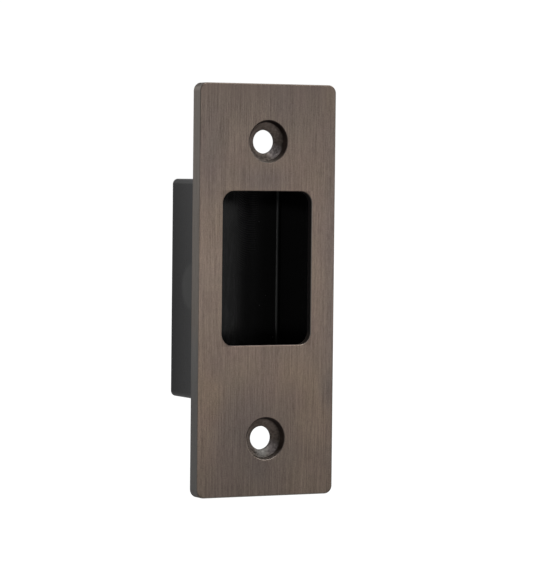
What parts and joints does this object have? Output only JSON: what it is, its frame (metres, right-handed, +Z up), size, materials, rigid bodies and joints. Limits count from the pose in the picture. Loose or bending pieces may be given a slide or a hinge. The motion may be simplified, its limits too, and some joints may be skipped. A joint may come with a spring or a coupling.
{
  "type": "sliding door edge pull",
  "caption": "Flush edge pull for a sliding door: a slim brushed plate with a rounded finger opening, countersunk screw holes and a closed black finger cup behind it.",
  "frame": {"origin": "midway between the two screw holes, on the back face of the plate, which seats on the door's edge", "axes": "+Z up along the plate, +Y into the door, so the brushed face looks along -Y, and X across the door's edge"},
  "size_m": [0.0276, 0.017, 0.075],
  "materials": {
    "brushed_bronze": "vertically brushed steel with a thin dark bronze colour coat, satin",
    "black_anodised": "milled aluminium, satin black anodised"
  },
  "bodies": {
    "root": {"face_plate": "brushed_bronze", "finger_cup": "black_anodised"}
  },
  "joints": []
}
